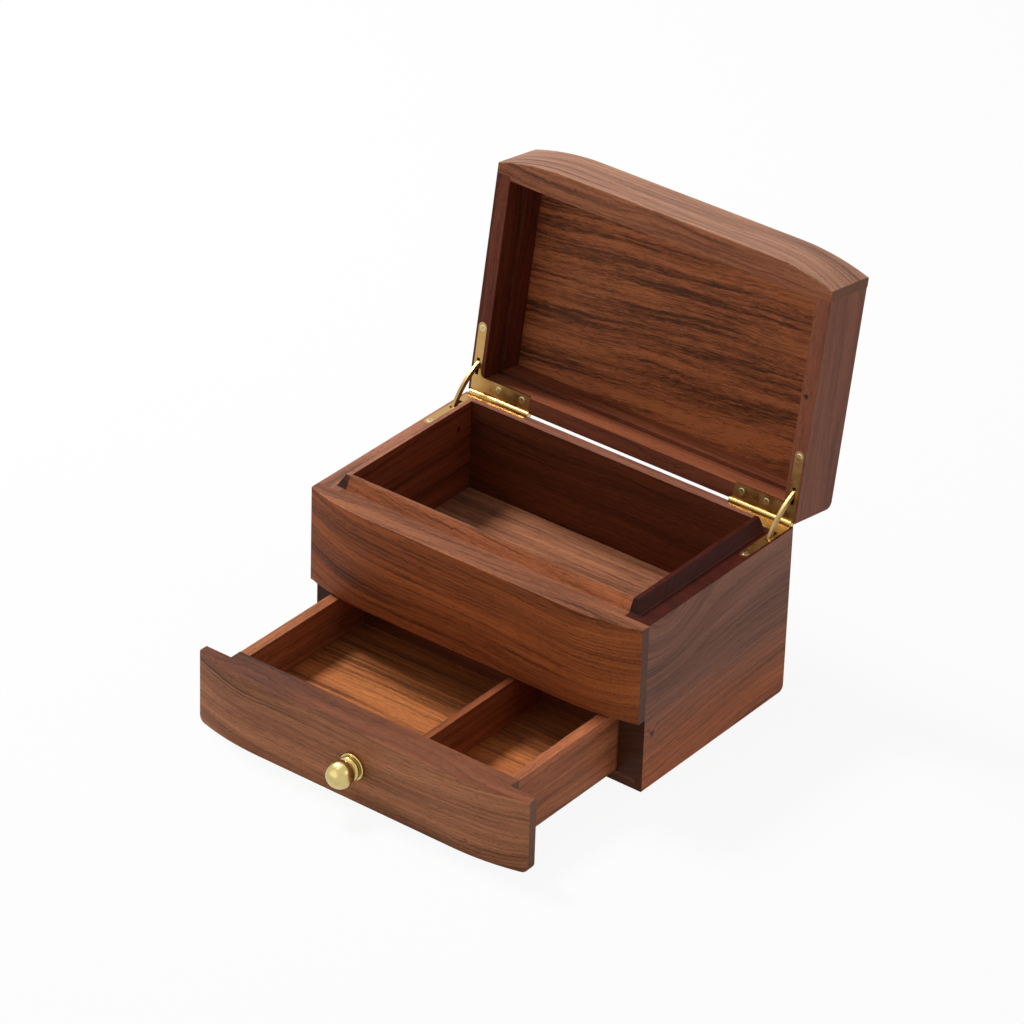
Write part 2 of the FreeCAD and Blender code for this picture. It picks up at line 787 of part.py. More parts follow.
def make_drawer_back():
    body = new_body("drawer_back")
    pad(body, "board",
        rectangle(-drawer_side_in, drawer_side_in, drawer_back_in, drawer_end),
        drawer_low, drawer_side_high - drawer_low)
    pocket(body, "bottom_groove",
           rectangle(-drawer_side_in, drawer_side_in,
                     drawer_back_in, drawer_back_in + d.drawer_groove),
           bottom_under, d.drawer_bottom)
    pocket(body, "divider_housing",
           rectangle(divider_left, divider_right,
                     drawer_back_in, drawer_back_in + d.divider_housing),
           d.drawer_floor, drawer_side_high - d.drawer_floor)
    draw_out(body)
    return body


def make_drawer_bottom():
    body = new_body("drawer_bottom")
    reach = drawer_side_in + d.drawer_groove
    pad(body, "board",
        rectangle(-reach, reach, front_inner - d.drawer_groove,
                  drawer_back_in + d.drawer_groove),
        bottom_under, d.drawer_bottom)
    draw_out(body)
    return body


def make_divider():
    body = new_body("drawer_divider")
    pad(body, "board",
        rectangle(divider_left, divider_right, front_inner - d.divider_housing,
                  drawer_back_in + d.divider_housing),
        d.drawer_floor, drawer_side_high - d.drawer_floor)
    draw_out(body)
    return body


def make_knob():
    """Turned knob: stem, bevelled flange, neck and a round head of narrow turned bands."""
    body = new_body("drawer_knob")
    sketch = new_sketch(body, "profile", "YZ_Plane", ZERO)
    flange = -d.knob_flange_thick
    neck = flange - d.knob_neck_length
    head_mid = neck - leg_of(d.knob_head_radius, d.knob_neck_radius)
    points = [
        (d.knob_stem_length, ZERO),
        (d.knob_stem_length, d.knob_stem_radius),
        (ZERO, d.knob_stem_radius),
        (ZERO, d.knob_flange_radius),
        (flange + d.knob_flange_edge, d.knob_flange_radius),
        (flange, d.knob_flange_radius - d.knob_flange_edge),
        (flange, d.knob_neck_radius),
        (neck, d.knob_neck_radius),
    ]
    for step in range(3, 12):
        angle = d.knob_band * step
        points.append((head_mid + d.knob_head_radius * cosine(angle),
                       d.knob_head_radius * sine(angle)))
    points.append((head_mid - d.knob_head_radius, ZERO))
    draw_outline(sketch, points)
    turned = body.newObject("PartDesign::Revolution", "turned")
    turned.Profile = sketch
    turned.ReferenceAxis = (plane_of(body, "Y_Axis"), [""])
    turned.Angle = 360
    doc.recompute()
    body.Tip = turned
    doc.recompute()
    bind(body, "Placement.Base.y", front - d.bow_drop - d.drawer_open)
    bind(body, "Placement.Base.z", d.knob_height)
    return body


# ---------------------------------------------------------------- build and write

nodes = [
    make_case_side("case_left_side", -1),
    make_case_side("case_right_side", 1),
    make_case_back(),
    make_front_rail(),
    make_tray_floor(),
    make_bottom_panel(),
    make_lid_side("lid_left", -1),
    make_lid_side("lid_right", 1),
    make_lid_back(),
    make_lid_front(),
    make_lid_panel(),
    make_leaf("hinge_left_case_leaf", -1, False),
    make_leaf("hinge_right_case_leaf", 1, False),
    make_leaf("hinge_left_lid_leaf", -1, True),
    make_leaf("hinge_right_lid_leaf", 1, True),
    make_pin("hinge_left_pin", -1),
    make_pin("hinge_right_pin", 1),
    make_stay("hinge_left_stay", -1),
    make_stay("hinge_right_stay", 1),
    make_drawer_front(),
    make_drawer_side("drawer_left_side", -1),
    make_drawer_side("drawer_right_side", 1),
    make_drawer_back(),
    make_drawer_bottom(),
    make_divider(),
    make_knob(),
]
doc.recompute()

for item in doc.Objects:
    if "Invalid" in item.State or "Error" in item.State:
        raise ValueError("%s failed" % item.Name)
for node in nodes:
    if node.Shape.isNull() or not node.Shape.isValid() or len(node.Shape.Solids) != 1:
        raise ValueError("%s is not one sound solid" % node.Label)

os.makedirs("parts", exist_ok=True)
for node in nodes:
    node.Shape.exportStep("parts/%s.step" % node.Label)
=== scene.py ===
# %% [markdown]
# # A walnut ring box with a drawer
#
# The real object is a small jewellery box of solid walnut: a bow-fronted case with a
# shallow tray on top, a drawer below it with a turned brass knob, and a lid that stands
# open on two brass stop hinges. Its shapes are already made as fixed parts, so this
# lesson gives them their surfaces, adds the small pieces that were left out (screws and
# the polished knob), and sets up the floor, the light and the camera. The first cell
# loads the parts. They are in metres, each at its own place.

# %% The frame
import math

import bpy
from mathutils import Matrix, Quaternion, Vector


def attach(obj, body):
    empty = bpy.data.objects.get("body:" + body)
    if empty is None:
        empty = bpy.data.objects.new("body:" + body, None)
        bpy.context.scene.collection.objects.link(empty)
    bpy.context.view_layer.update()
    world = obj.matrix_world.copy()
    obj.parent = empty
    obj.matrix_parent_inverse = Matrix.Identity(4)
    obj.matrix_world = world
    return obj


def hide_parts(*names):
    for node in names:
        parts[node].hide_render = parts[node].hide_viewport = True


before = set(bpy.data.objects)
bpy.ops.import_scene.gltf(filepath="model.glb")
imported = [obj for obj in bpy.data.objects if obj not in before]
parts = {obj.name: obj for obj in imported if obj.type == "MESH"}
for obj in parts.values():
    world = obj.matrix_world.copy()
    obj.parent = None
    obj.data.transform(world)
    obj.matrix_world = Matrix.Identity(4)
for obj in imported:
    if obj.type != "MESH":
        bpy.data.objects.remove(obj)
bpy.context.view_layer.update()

# %% [markdown]
# Sizes in this lesson are given in millimetres, as a cabinet maker would, and turned to
# metres where Blender needs them. Colours are written as the hex values that a paint
# program shows. Blender's shaders work with linear light, so one function converts them.

# %% Millimetres and colours
MM = 0.001


def place(x, y, z):
    """A point given in millimetres, in metres."""
    return Vector((x * MM, y * MM, z * MM))


def colour(code):
    """An sRGB hex colour as the linear red, green, blue and alpha that a shader takes."""
    shares = [int(code[i:i + 2], 16) / 255 for i in (1, 3, 5)]
    linear = [s / 12.92 if s <= 0.04045 else ((s + 0.055) / 1.055) ** 2.4 for s in shares]
    return (*linear, 1.0)


def shade(code, red, green, blue):
    """A hex colour with each of its linear parts made stronger or weaker."""
    return tuple(c * k for c, k in zip(colour(code), (red, green, blue, 1.0)))


print("mid brown as linear light:", [round(c, 3) for c in colour("#8a5a3c")])

# %% [markdown]
# Every finish is a small tree of nodes. One function adds a node: its settings are given
# by name, and each input is either a plain value or the output of another node, which is
# then linked. It gives back one output of the new node, so that the next node can take
# it. Reading a tree from top to bottom reads the pattern from the outside in.

# %% One node at a time
SMOOTH = {"interpolation_type": "SMOOTHSTEP"}
COLOUR_MIX = {"out": "Result", "data_type": "RGBA"}


def add(tree, kind, inputs=None, out=0, **settings):
    """Add a node, set its settings, fill or link its inputs, and return one output."""
    node = tree.nodes.new("ShaderNode" + kind)
    for name, value in settings.items():
        setattr(node, name, value)
    for socket, value in (inputs or {}).items():
        if isinstance(value, bpy.types.NodeSocket):
            tree.links.new(value, node.inputs[socket])
        else:
            node.inputs[socket].default_value = value
    return node.outputs[out]


def from_to(value, low, high, to_low=0.0, to_high=1.0):
    """The inputs of a Map Range node that carries one range over to another."""
    return {"Value": value, "From Min": low, "From Max": high, "To Min": to_low,
            "To Max": to_high}


def new_finish(name):
    """A new material, its node tree and its surface shader."""
    material = bpy.data.materials.new(name)
    material.use_nodes = True
    return material, material.node_tree, material.node_tree.nodes["Principled BSDF"]


def dress(piece, material):
    """Give every slot of a piece one material."""
    if not piece.material_slots:
        piece.data.materials.append(material)
    for slot in piece.material_slots:
        slot.material = material


# %% [markdown]
# ## Walnut
#
# Oiled black walnut: the boards were planed, sanded and wiped with oil, so the figure
# shows deep and warm under a low satin gloss. Wood could be drawn as stripes painted on
# each face, but then the pattern breaks at every edge. Here it is cut out of a trunk
# instead: the trunk's pith is a line beside the board, and the distance from that line
# gives the growth ring. Long faces then show streaks, and sawn ends show the arcs of the
# same rings. A real trunk is never straight, so two noises push every point a little
# across the grain: a slow one bends the streaks and a short one tooths their edges.

# %% A crooked trunk
ALONG_X = (1.0, 0.0, 0.0)
ALONG_Y = (0.0, 1.0, 0.0)
LID_LEAN = math.radians(9.1)
UP_THE_LID = (0.0, math.sin(LID_LEAN), math.cos(LID_LEAN))
BEND_WIDTH = 45.0          # mm across the grain between one bend and the next
TOOTH = (4.0, 7.0, 7.0)    # mm along the grain and across it
REACH = 4.0                # noise mostly stays within a quarter of its middle


def blotches(tree, point, size, detail, roughness=0.5, out="Fac", **fourth):
    """Noise whose blotches have a size in millimetres, along the grain and across it. With
    a fourth value, W, the noise also changes with that value."""
    rate = tuple(1 / part for part in size)
    scaled = add(tree, "VectorMath", {0: point, 1: rate}, operation="MULTIPLY")
    inputs = {"Vector": scaled, "Scale": 1.0, "Detail": detail, "Roughness": roughness}
    return add(tree, "TexNoise", {**inputs, **fourth}, out=out,
               noise_dimensions="4D" if fourth else "3D")


def pushed(tree, point, noise, far):
    """A point that noise pushes across the grain, so many millimetres far."""
    middle = add(tree, "VectorMath", {0: noise, 1: (0.5, 0.5, 0.5)}, operation="SUBTRACT")
    return add(tree, "VectorMath", {0: middle, 1: (0.0, REACH * far, REACH * far), 2: point},
               operation="MULTIPLY_ADD")


def in_the_trunk(tree, here, grain, pith, swing, swing_length, ripple):
    """A point of the board as millimetres in the trunk, straight and then crooked."""
    turn = Vector(ALONG_X).rotation_difference(Vector(grain)).to_euler()
    board = add(tree, "Mapping", {"Vector": here, "Location": place(*pith), "Rotation": turn,
                "Scale": (MM, MM, MM)}, vector_type="TEXTURE")
    slow = blotches(tree, board, (swing_length, BEND_WIDTH, BEND_WIDTH), 2.0, 0.4, "Color")
    short = blotches(tree, board, TOOTH, 1.0, out="Color")
    return board, pushed(tree, pushed(tree, board, slow, swing), short, ripple)


# %% [markdown]
# The distance from the pith is the age of the wood. Round a knot the rings swell: there
# the distance is pushed outwards, and the heart of the knot is dark.

# %% Rings and knots


def ring_and_hearts(tree, here, crooked, knots):
    """The distance from the pith, and where the heart of each knot is. A knot is its place,
    the radius of its swelling, how far that pushes the rings and the radius of its heart."""
    across = add(tree, "VectorMath", {0: crooked, 1: (0.0, 1.0, 1.0)}, operation="MULTIPLY")
    ring = add(tree, "VectorMath", {0: across}, out="Value", operation="LENGTH")
    hearts = []
    for spot, radius, push, heart in knots:
        away = add(tree, "VectorMath", {0: here, 1: place(*spot)}, out="Value",
                   operation="DISTANCE")
        near = add(tree, "MapRange", from_to(away, radius * MM, 0.0), **SMOOTH)
        ring = add(tree, "Math", {0: near, 1: push, 2: ring}, operation="MULTIPLY_ADD")
        core = from_to(away, heart * MM, 0.4 * heart * MM, 0.0, 0.85)
        hearts.append(add(tree, "MapRange", core, **SMOOTH))
    return ring, hearts


# %% [markdown]
# Each ring gets its own shade from noise that is read along the distance: broad bands,
# fine lines between them, and short fibres. A ramp of four tones, all taken from the one
# tone of the board, turns the sum into colour. Walnut is open-grained: its pores show as
# short dark dashes. Real ones are under 0.2 mm wide, which is too fine for the render, so
# they are drawn 0.3 mm wide.

# %% Figure and pores
BAND_DRIFT = (166.67, 166.67, 166.67)    # mm over which a band changes its shade
LINE_DRIFT = (71.43, 50.0, 50.0)         # and a fine line
FIBRE = (9.0, 0.5, 0.5)                  # mm long and wide
PORE = (6.0, 0.32, 0.32)
TONES = ((0.2, (0.28, 0.3, 0.34)), (0.38, (0.7, 0.68, 0.68)), (0.52, (1.0, 1.0, 1.0)),
         (0.8, (1.5, 1.55, 1.5)))
PORE_TONE = (0.2, 0.2, 0.2)


def figured(tree, tone, board, crooked, ring, band, line, contrast):
    """The colour of the figure with its pores, and the fibres and the pores by themselves."""
    in_bands = add(tree, "Math", {0: ring, 1: band}, operation="DIVIDE")
    in_lines = add(tree, "Math", {0: ring, 1: line}, operation="DIVIDE")
    bands = blotches(tree, board, BAND_DRIFT, 1.0, W=in_bands)
    fine = blotches(tree, board, LINE_DRIFT, 2.0, 0.6, W=in_lines)
    fibre = blotches(tree, crooked, FIBRE, 2.0, 0.6)
    figure = 0.5 - 0.5 * sum(contrast)
    for share, part in zip(contrast, (bands, fine, fibre)):
        figure = add(tree, "Math", {0: part, 1: share, 2: figure}, operation="MULTIPLY_ADD")
    shown = add(tree, "ValToRGB", {"Fac": figure})
    stops = shown.node.color_ramp.elements
    stops[0].position, stops[1].position = TONES[0][0], TONES[-1][0]
    for position, _ in TONES[1:-1]:
        stops.new(position)
    for stop, (_, factors) in zip(stops, TONES):
        stop.color = shade(tone, *factors)
    pores = blotches(tree, crooked, PORE, 1.0)
    depth = add(tree, "MapRange", from_to(pores, 0.58, 0.72, 0.0, 0.6), **SMOOTH)
    shown = add(tree, "Mix", {"Factor": depth, "A": shown, "B": shade(tone, *PORE_TONE)},
                **COLOUR_MIX)
    return shown, fibre, pores


# %% [markdown]
# One board isn't one tone. Its foot may run into redder wood. Sawn ends drink more oil
# and turn darker and greyer. Faces that look up, and the lip above the shoulder of the
# case, get painted light and shade: a tone of their own, lighter or darker as the light
# falls on tops. Eased top edges get a painted highlight. All but the sawn ends multiply
# the colour, so that the figure shows through them.

# %% Tones of one board
FOOT_TOP, FOOT_BOTTOM = 50, 5    # mm above the floor
LIP_BLUR = 0.4                   # mm on either side of the shoulder
END_SHARE = 0.82
END_TONE = (0.45, 0.48, 0.52)


def multiplied(tree, shown, share, factors):
    """A colour multiplied by factors where share is 1."""
    return add(tree, "Mix", {"Factor": share, "A": shown, "B": factors},
               blend_type="MULTIPLY", **COLOUR_MIX)


def change(old, new):
    """The factors that turn one hex colour into another."""
    return tuple(b / a for a, b in zip(colour(old), colour(new)))


def toned_with_painted_light(tree, shown, here, tone, grain, end, painted_top_shading, above, foot, painted_edge_highlight):
    """The figure with the tones of its foot and its sawn ends, painted light and shade on its
    tops and a painted highlight on its eased edges.
    """
    facing = add(tree, "TexCoord", out="Normal")
    height = add(tree, "SeparateXYZ", {"Vector": here}, out="Z")
    slope = add(tree, "SeparateXYZ", {"Vector": facing}, out="Z")
    if foot:
        low = add(tree, "MapRange", from_to(height, FOOT_TOP * MM, FOOT_BOTTOM * MM), **SMOOTH)
        shown = multiplied(tree, shown, low, change(tone, foot))
    along = add(tree, "VectorMath", {0: facing, 1: grain}, out="Value", operation="DOT_PRODUCT")
    along = add(tree, "Math", {0: along}, operation="ABSOLUTE")
    sawn = add(tree, "MapRange", from_to(along, 0.75, 0.95, 0.0, END_SHARE), **SMOOTH)
    end_tone = colour(end) if end else shade(tone, *END_TONE)
    shown = add(tree, "Mix", {"Factor": sawn, "A": shown, "B": end_tone}, **COLOUR_MIX)
    # Painted light and shade: faces that look upwards, and all above a height, take the
    # painted_top_shading tone.
    if painted_top_shading:
        up = add(tree, "MapRange", from_to(slope, 0.2, 0.6), **SMOOTH)
        if above:
            lip = from_to(height, (above - LIP_BLUR) * MM, (above + LIP_BLUR) * MM)
            high = add(tree, "MapRange", lip, **SMOOTH)
            up = add(tree, "Math", {0: up, 1: high}, operation="MAXIMUM")
        shown = multiplied(tree, shown, up, change(tone, painted_top_shading))
    # Painted highlight: eased top edges, whose faces lean between side and top, are made lighter.
    if painted_edge_highlight:
        from_side = add(tree, "MapRange", from_to(slope, 0.3, 0.5), **SMOOTH)
        from_top = add(tree, "MapRange", from_to(slope, 0.85, 0.75), **SMOOTH)
        edge = add(tree, "Math", {0: from_side, 1: from_top}, operation="MULTIPLY")
        shown = multiplied(tree, shown, edge, (1 + painted_edge_highlight, 1 + painted_edge_highlight, 1 + painted_edge_highlight, 1.0))
    return shown


# %% [markdown]
# The finish puts these together. Oil leaves the wood with a low satin gloss, a little
# duller where the fibres are open, and almost no shine on top. The pores are shallow
# dents that bump mapping can draw.

# %% The walnut finish
KNOT_HEART = "#1d100b"
SATIN = (0.43, 0.58)
SHINE = 0.12
PORE_DEPTH = 0.12


def walnut(name, tone, grain=ALONG_X, pith=(0, 0, 0), band=8.0, line=1.1, swing=2.0,
           swing_length=90.0, ripple=0.25, contrast=(0.9, 1.0, 0.5), knots=(), end=None,
           painted_top_shading=None, above=None, foot=None, painted_edge_highlight=0.0):
    """Walnut of one tone, with its grain along a direction, sawn from a trunk whose pith
    passes through a point. band and line are the widths in millimetres of its broad and fine
    streaks, swing is how far they wander and swing_length over what length of board, and
    ripple is how far their edges are toothed. contrast is how strongly the broad streaks,
    the fine ones and the fibres show. end is the tone of sawn ends, and painted_top_shading
    is painted light and shade: the tone of faces that look upwards and of all that stands
    above a height. foot is the tone that the lower part runs into, and painted_edge_highlight
    is how much lighter a painted highlight makes the eased top edges."""
    material, tree, surface = new_finish(name)
    here = add(tree, "TexCoord", out="Object")
    board, crooked = in_the_trunk(tree, here, grain, pith, swing, swing_length, ripple)
    ring, hearts = ring_and_hearts(tree, here, crooked, knots)
    shown, fibre, pores = figured(tree, tone, board, crooked, ring, band, line, contrast)
    shown = toned_with_painted_light(tree, shown, here, tone, grain, end, painted_top_shading, above, foot, painted_edge_highlight)
    for heart in hearts:
        shown = add(tree, "Mix", {"Factor": heart, "A": shown, "B": colour(KNOT_HEART)},
                    **COLOUR_MIX)
    tree.links.new(shown, surface.inputs["Base Color"])
    rough = add(tree, "MapRange", from_to(fibre, 0.3, 0.7, *SATIN), **SMOOTH)
    tree.links.new(rough, surface.inputs["Roughness"])
    surface.inputs["Specular IOR Level"].default_value = SHINE
    bump = add(tree, "Bump", {"Height": pores, "Strength": 0.2, "Distance": PORE_DEPTH * MM},
               invert=True)
    tree.links.new(bump, surface.inputs["Normal"])
    return material


# %% [markdown]
# Every board of the box was cut from its own plank, so each has a tone and a pith of its
# own, while planks of one trunk would repeat. The grain runs along the length of a board:
# from side to side in the fronts, the floors and the panel, front to back in the sides.
# The panel was cut a few degrees across its grain. Three boards hold a small knot. The
# right side also has a wide swell without a heart, over a limb that lies deeper, and its
# lip and the faces on top of it are painted much darker.

# %% The boards
# Near-black end tone of the case's sides: dark end grain, with painted shade for the dark recess
# beside the drawer.
END_GRAIN_AND_PAINTED_SHADE = "#1c100b"
PANEL_SLOPE = math.radians(6)
ACROSS_THE_PANEL = (math.cos(PANEL_SLOPE), math.sin(PANEL_SLOPE) * UP_THE_LID[1],
                    math.sin(PANEL_SLOPE) * UP_THE_LID[2])
# painted_top_shading is painted light and shade on the tops: lighter where tops catch the light,
# darker on the drawer front and the case's right side.
boards = {
    # The front rail and the drawer front get a painted highlight on their eased top edges.
    "front_rail": dict(tone="#9d552d", grain=(0.9995, 0, -0.03), pith=(0, 70, -130), band=9,
                       contrast=(0.8, 1.1, 0.5), end="#4f3b33", painted_top_shading="#8b553a", painted_edge_highlight=0.9),
    # The right side's lip and top faces get a much darker painted tone.
    "case_right_side": dict(tone="#8a5a46", grain=(0, 0.9976, 0.07), pith=(160, 0, -140), band=11,
                            line=1.3, swing=3, contrast=(0.6, 1.0, 0.4), end=END_GRAIN_AND_PAINTED_SHADE,
                            painted_top_shading="#401206", above=94, foot="#cf7648",
                            knots=(((100, -49, 30.5), 6.0, 3.0, 2.2),
                                   ((100, -40, 88), 45.0, 18.0, 0.0))),
    "case_left_side": dict(tone="#834228", grain=ALONG_Y, pith=(-160, 0, -100), end=END_GRAIN_AND_PAINTED_SHADE,
                           painted_top_shading="#94604a", knots=(((-85.5, 36, 88), 7.0, 3.0, 2.0),)),
    "case_back": dict(tone="#6d3922", pith=(0, 190, -60), contrast=(0.7, 0.7, 0.4),
                      painted_top_shading="#8a5846"),
    "tray_floor": dict(tone="#966044", pith=(0, -150, -60), band=7, line=1.4,
                       contrast=(1.0, 1.3, 0.4)),
    "bottom_panel": dict(tone="#7a4a30", pith=(0, 10, -190)),
    "lid_left": dict(tone="#763b27", grain=UP_THE_LID, pith=(-190, 140, 0),
                     contrast=(0.6, 0.7, 0.4)),
    "lid_right": dict(tone="#8e533d", grain=UP_THE_LID, pith=(190, 140, 0),
                      contrast=(0.4, 0.6, 0.4), knots=(((94.7, 72, 159), 6.0, 3.0, 1.8),)),
    "lid_back": dict(tone="#7c4430", pith=(0, 170, 0), contrast=(0.7, 0.8, 0.4), painted_top_shading="#935438"),
    "lid_front": dict(tone="#a46444", pith=(0, 220, 60), contrast=(0.6, 1.0, 0.4),
                      painted_top_shading="#a0725a"),
    "lid_top_panel": dict(tone="#ac643d", grain=ACROSS_THE_PANEL, pith=(0, 212, 20), band=6,
                          line=1.2, swing=1.5, swing_length=80, ripple=0.22,
                          contrast=(1.2, 1.4, 1.2)),
    "drawer_front": dict(tone="#a86d4b", pith=(0, -60, -140), band=11, contrast=(1.1, 0.9, 0.4),
                         end="#6b4736", painted_top_shading="#7c4830", painted_edge_highlight=0.7),
    "drawer_left_side": dict(tone="#ab6842", grain=ALONG_Y, pith=(-160, 0, -80),
                             contrast=(0.6, 0.8, 0.4)),
    "drawer_right_side": dict(tone="#bb7049", grain=ALONG_Y, pith=(160, 0, -80),
                              contrast=(0.7, 0.9, 0.4)),
    "drawer_back": dict(tone="#6a3a26", pith=(0, 40, -100)),
    "drawer_bottom": dict(tone="#ad6738", pith=(0, -280, -60), band=8, line=1.3,
                          contrast=(0.9, 1.1, 0.5)),
    "drawer_divider": dict(tone="#92502e", grain=ALONG_Y, pith=(120, 0, -60),
                           contrast=(0.6, 0.8, 0.4)),
}
for part_name, figure in boards.items():
    dress(parts[part_name], walnut("walnut_oiled_" + part_name, **figure))
print("boards dressed:", len(boards))

# %% [markdown]
# ## Brass
#
# The hinges were stamped from brass sheet, tumbled and lacquered, the pins were drawn,
# and the knob was turned on a lathe and polished. All of it is one metal, so one function
# makes the finishes: soft marks of a chosen size change the polish and the tint a little.

# %% Brass finishes
REDDER = (0.85, 0.78, 0.6)


def brass(name, tone, roughness, grain):
    """Yellow brass whose polish varies softly; grain is the size of its marks in millimetres."""
    material, tree, surface = new_finish(name)
    here = add(tree, "TexCoord", out="Object")
    marks = add(tree, "TexNoise", {"Vector": here, "Scale": 1 / (grain * MM), "Detail": 2.0},
                out="Fac")
    polish = add(tree, "MapRange", from_to(marks, 0.3, 0.7, roughness * 0.85, roughness * 1.2),
                 **SMOOTH)
    tree.links.new(polish, surface.inputs["Roughness"])
    redder = add(tree, "MapRange", from_to(marks, 0.35, 0.65, 0.0, 0.4), **SMOOTH)
    tint = add(tree, "Mix", {"Factor": redder, "A": colour(tone), "B": shade(tone, *REDDER)},
               **COLOUR_MIX)
    tree.links.new(tint, surface.inputs["Base Color"])
    surface.inputs["Metallic"].default_value = 1.0
    return material


hinge_brass = {"leaf": brass("brass_sheet_lacquered", "#ba955c", 0.3, 5.0),
               "pin": brass("brass_drawn_bright", "#dcc48e", 0.24, 4.0),
               "stay": brass("brass_blanked_stay", "#a08358", 0.38, 4.0)}
knob_brass = brass("brass_turned_polished", "#cdb97c", 0.24, 3.0)
screw_brass = brass("brass_plated_screw", "#cdbf96", 0.3, 1.0)
hinge_parts = [part_name for part_name in parts if part_name.startswith("hinge")]
for part_name in hinge_parts:
    dress(parts[part_name], hinge_brass[part_name.split("_")[-1]])
dress(parts["drawer_knob"], knob_brass)
print("hinge parts dressed:", len(hinge_parts))

# %% [markdown]
# ## Hinge screws
#
# Each leaf is held by three small countersunk screws with cross slots, twelve in all. The
# head is a short cylinder with an eased rim, and the cross is cut by two thin blades that
# are taken away from it. It is made once, standing upright at the middle of the scene,
# and every screw is a copy with its place worked into its own mesh.

# %% One screw
HEAD_RADIUS, HEAD_HEIGHT, HEAD_RIM = 1.8, 0.8, 0.12
BLADE = (1.24, 0.26, 0.47)    # length, width and height in radii of the head
BLADE_TURNS = (35, 125)


def only(piece):
    """Select one object and make it the active one."""
    bpy.ops.object.select_all(action="DESELECT")
    piece.select_set(True)
    bpy.context.view_layer.objects.active = piece


def bake(piece):
    """Work the place, turn and scale of an object into its mesh."""
    only(piece)
    bpy.ops.object.transform_apply(location=True, rotation=True, scale=True)


def cross_head(name, radius, height, rim):
    """The head of a screw, standing on z = 0, with an eased rim and a cross cut in its top."""
    bpy.ops.object.select_all(action="DESELECT")
    bpy.ops.mesh.primitive_cylinder_add(vertices=32, radius=radius * MM, depth=height * MM,
                                        location=place(0, 0, height / 2))
    head = bpy.context.object
    head.name = name
    bake(head)
    bpy.ops.object.modifier_add(type="BEVEL")
    ease = head.modifiers[-1]
    ease.width = rim * MM
    ease.segments = 2
    ease.limit_method = "ANGLE"
    bpy.ops.object.modifier_apply(modifier=ease.name)
    for turn in BLADE_TURNS:
        bpy.ops.object.select_all(action="DESELECT")
        bpy.ops.mesh.primitive_cube_add(size=1, location=place(0, 0, height),
                                        rotation=(0, 0, math.radians(turn)))
        blade = bpy.context.object
        blade.scale = place(*(radius * part for part in BLADE))
        bake(blade)
        only(head)
        bpy.ops.object.modifier_add(type="BOOLEAN")
        cut = head.modifiers[-1]
        cut.operation = "DIFFERENCE"
        cut.solver = "EXACT"
        cut.object = blade
        bpy.ops.object.modifier_apply(modifier=cut.name)
        bpy.data.objects.remove(blade)
    only(head)
    bpy.ops.object.shade_smooth_by_angle(angle=math.radians(35))
    dress(head, screw_brass)
    return head


screw = cross_head("hinge_screw_pattern", HEAD_RADIUS, HEAD_HEIGHT, HEAD_RIM)
print("screw faces:", len(screw.data.polygons))

# %% [markdown]
# On the real hinges one screw stands near the tip of the long leg and two in the short
# one. The lid's leaves mirror those of the case about the hinge pin, so their screws are
# placed as if the lid were shut and then swung open with it.

# %% Twelve screws
PIN = Matrix.Translation(place(0, 61.65, 93.6))
OPEN = Matrix.Rotation(math.radians(-99.1), 4, "X")
UPSIDE_DOWN = Matrix.Rotation(math.pi, 4, "X")
LEAF_FACE = 0.1    # mm from the axis of the pin to the face of a leaf
SPOTS = ((96.3, -35.2), (81.8, -6.4), (67.2, -6.4))
PROUD = 0.07
SUNK = Matrix.Translation(place(0, 0, PROUD - HEAD_HEIGHT))

screws = 0
for side in (-1, 1):
    for x, y in SPOTS:
        on_case = PIN @ Matrix.Translation(place(side * x, y, -LEAF_FACE)) @ SUNK
        on_lid = (PIN @ OPEN @ Matrix.Translation(place(side * x, y, LEAF_FACE))
                  @ UPSIDE_DOWN @ SUNK)
        for body, where in (("case", on_case), ("lid", on_lid)):
            screws += 1
            copy = screw.copy()
            copy.data = screw.data.copy()
            copy.data.transform(where)
            copy.name = "hinge_screw_%s_%02d" % (body, screws)
            bpy.context.scene.collection.objects.link(copy)
            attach(copy, body)
bpy.data.objects.remove(screw)
print("screws:", screws)

# %% [markdown]
# ## The knob
#
# The knob was turned in one piece from brass bar: a ball, a bead below it and a flange
# that sits on the wood, with a stem that goes into the drawer front. A machine screw
# from inside the drawer pulls it tight. The ball, the bead and the flange are a sphere, a
# torus and an eased cylinder on one axis, joined into one piece. It stands for the fixed
# part drawer_knob, whose ball is made of flat bands and whose neck has no bead.

# %% Ball, bead and flange
KNOB = place(0, -149.75, 20.2)
TO_FRONT = (math.radians(90), 0, 0)
FLANGE_RADIUS, FLANGE_HEIGHT, FLANGE_EASE = 7.1, 1.8, 0.55
BEAD_RING, BEAD_RADIUS, BEAD_AT = 4.6, 1.8, 3.4
BALL_RADIUS, BALL_AT = 7.1, 9.6
STEM_RADIUS, STEM_LENGTH, STEM_AT = 1.99, 13.5, -2.2


def on_knob(y):
    """A point on the knob's axis, so many millimetres in front of the drawer."""
    return KNOB + place(0, -y, 0)


